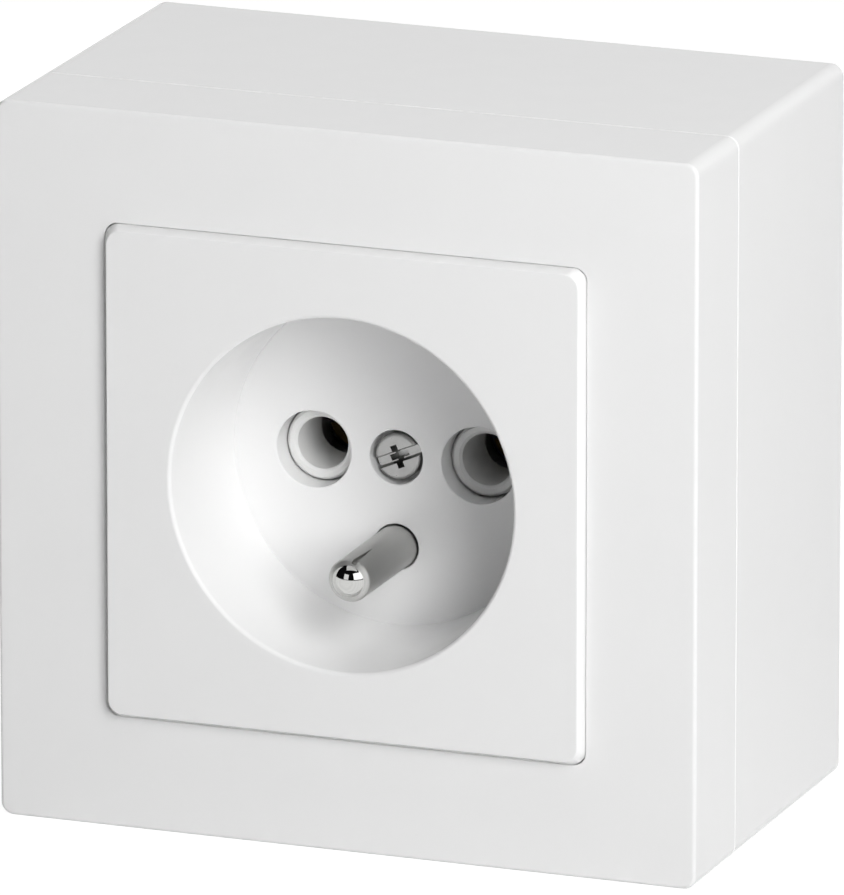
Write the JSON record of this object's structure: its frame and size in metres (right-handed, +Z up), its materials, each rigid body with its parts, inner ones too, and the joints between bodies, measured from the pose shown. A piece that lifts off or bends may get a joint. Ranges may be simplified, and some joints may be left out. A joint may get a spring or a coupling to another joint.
{
  "type": "surface-mounted wall socket",
  "caption": "White square surface-mounted wall socket: rear box, cover frame, central plate with a round recess, sleeved contact holes and a protruding earth pin.",
  "frame": {"origin": "centre of the back face of the rear box, on the wall plane", "axes": "+X to the right seen from the room, +Y into the wall, +Z up; the front faces -Y"},
  "size_m": [0.08, 0.0474, 0.08],
  "materials": {
    "white_moulding": "glossy white moulded thermoplastic",
    "carrier_moulding": "white moulded insulating plastic",
    "rear_moulding": "grey moulded insulating plastic",
    "zinc_steel": "zinc-plated steel",
    "spring_steel": "spring steel",
    "nickel": "nickel-plated brass, satin with a polished end",
    "brass": "stamped brass"
  },
  "bodies": {
    "root": {"surface_box": "white_moulding", "cover_frame": "white_moulding", "cover_plate": "white_moulding", "cover_screw": "zinc_steel", "cover_nut": "zinc_steel", "support_plate": "zinc_steel", "support_screws": "zinc_steel", "carrier": "carrier_moulding", "carrier_rivets": "zinc_steel", "live_contact": "brass", "neutral_contact": "brass", "live_spring": "spring_steel", "neutral_spring": "spring_steel", "live_clamp": "zinc_steel", "neutral_clamp": "zinc_steel", "earth_clamp": "zinc_steel", "earth_strip": "brass", "earth_pin": "nickel", "terminal_screws": "zinc_steel", "rear_cover": "rear_moulding", "rear_screws": "zinc_steel"}
  },
  "joints": []
}
